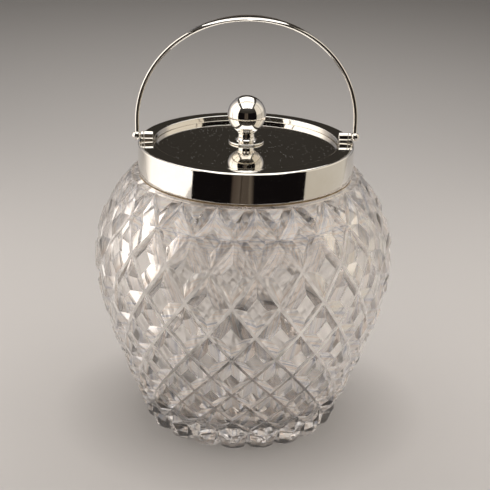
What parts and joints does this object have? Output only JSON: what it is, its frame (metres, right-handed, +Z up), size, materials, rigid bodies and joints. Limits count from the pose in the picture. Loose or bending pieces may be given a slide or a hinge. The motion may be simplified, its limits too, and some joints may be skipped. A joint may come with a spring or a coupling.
{
  "type": "biscuit jar",
  "caption": "Diamond-cut glass biscuit jar with a plated collar, a lift-off domed lid with a ball knob, and a swinging bail handle.",
  "frame": {"origin": "centre of the foot, on the surface that the jar stands on", "axes": "+Z up, the bail's pivots lie along X, the front faces -Y"},
  "size_m": [0.1548, 0.1548, 0.2146],
  "materials": {
    "cut_glass": "polished, clear",
    "plaster": "matte, aged cement",
    "silver_plate": "polished, warm silver",
    "lid_silver": "polished, finely rubbed",
    "fastener_brass": "plain turned",
    "pin_steel": "plain turned"
  },
  "bodies": {
    "jar": {"glass_body": "cut_glass", "plaster_bed": "plaster", "collar_band": "silver_plate", "collar_top": "silver_plate", "left_ear": "silver_plate", "right_ear": "silver_plate"},
    "lid": {"lid_plate": "lid_silver", "lid_skirt": "lid_silver", "knob_foot": "silver_plate", "knob_stem": "silver_plate", "knob_ball": "silver_plate", "knob_stud": "fastener_brass", "knob_washer": "fastener_brass", "knob_nut": "fastener_brass"},
    "bail": {"bail_handle": "silver_plate", "left_boss": "silver_plate", "right_boss": "silver_plate", "left_pivot_pin": "pin_steel", "right_pivot_pin": "pin_steel", "left_spacer": "silver_plate", "right_spacer": "silver_plate"}
  },
  "joints": [
    {"name": "bail_hinge", "type": "hinge", "parent": "jar", "child": "bail", "pos_m": [0, 0, 0.1529], "axis": [1, 0, 0], "range_deg": [-100, 100]},
    {"name": "lid_lift", "type": "slide", "parent": "jar", "child": "lid", "axis": [0, 0, 1], "range_m": [0, 0.034]}
  ]
}
